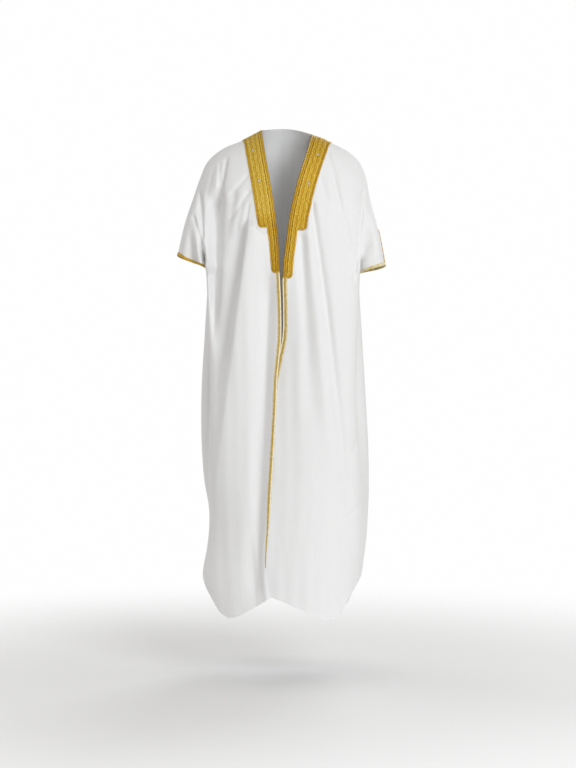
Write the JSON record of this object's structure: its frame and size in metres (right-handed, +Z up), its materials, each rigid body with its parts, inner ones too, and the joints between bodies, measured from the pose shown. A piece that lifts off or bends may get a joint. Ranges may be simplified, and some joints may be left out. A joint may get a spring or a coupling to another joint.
{
  "type": "bisht robe",
  "caption": "Open-fronted white bisht robe with short wide sleeves, a rounded hem and gold embroidered bands round the neck and down the fronts, in its worn shape.",
  "frame": {"origin": "between the shoulders, level with the side of the neck, where the wearer carries the robe", "axes": "+Z up, the wearer faces -Y, +X to the wearer's left"},
  "size_m": [0.6006, 0.3551, 1.4186],
  "materials": {
    "robe_cloth": "white lightweight cloth with a faint soft sheen",
    "gold_embroidery": "gold metallic-thread embroidery, raised, softly shiny",
    "gold_edging": "pale gold cord and braid, softly shiny"
  },
  "bodies": {
    "root": {"back": "robe_cloth", "band_back": "gold_embroidery", "band_left": "gold_embroidery", "band_right": "gold_embroidery", "edging_left": "gold_edging", "edging_right": "gold_edging", "front_left": "robe_cloth", "front_right": "robe_cloth", "sleeve_edging_left": "gold_edging", "sleeve_edging_right": "gold_edging", "sleeve_strip_left": "gold_embroidery", "sleeve_strip_right": "gold_embroidery"}
  },
  "joints": []
}
